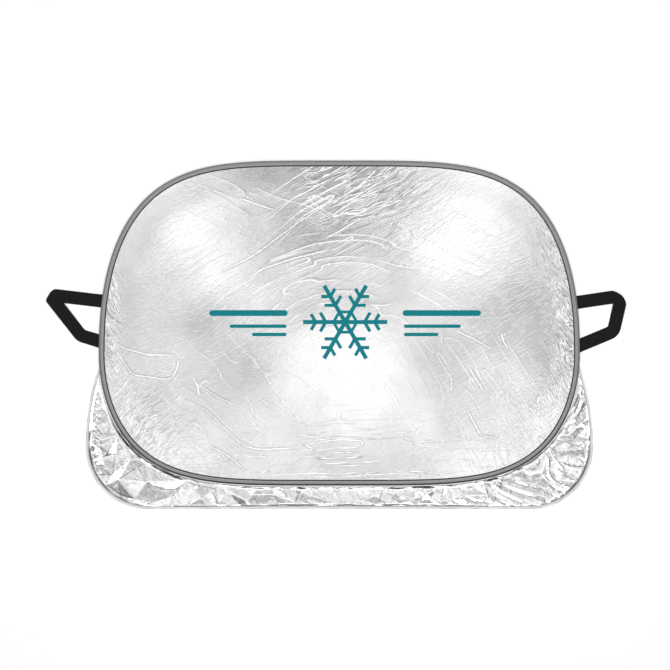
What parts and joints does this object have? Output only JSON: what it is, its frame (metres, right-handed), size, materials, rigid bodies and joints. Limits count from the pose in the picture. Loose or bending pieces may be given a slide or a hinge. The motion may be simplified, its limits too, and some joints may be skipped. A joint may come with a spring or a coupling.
{
  "type": "windscreen snow cover",
  "caption": "Foil windscreen cover with a sprung hoop in a bound edge, a crumpled foil skirt round its lower half and webbing loops for the wing mirrors.",
  "frame": {"origin": "on the floor that the cover lies on, on its centre line, under the lower edge of the panel, which is the skirt's flat underside there", "axes": "+X across the car, towards the right-hand loop as the foil face is seen; +Y up the windscreen, from the skirt to the top of the panel; +Z out of the foil face, up while the cover lies on a floor"},
  "size_m": [1.6872, 1.009, 0.0073],
  "materials": {
    "foil": "crinkled metallised film, satin to bright",
    "edge_tape": "bright silver tape",
    "grey_tape": "woven grey binding tape",
    "grey_thread": "dark grey polyester thread",
    "spring_steel": "bare spring wire",
    "plated_steel": "plated crimp sleeve",
    "black_webbing": "matt woven webbing"
  },
  "bodies": {
    "root": {"panel_sheet": "foil", "skirt_sheet": "foil", "skirt_edge_tape": "edge_tape", "edge_binding": "grey_tape", "binding_seam_thread": "grey_thread", "spring_hoop": "spring_steel", "hoop_ferrule": "plated_steel", "left_strap": "black_webbing", "right_strap": "black_webbing"}
  },
  "joints": []
}
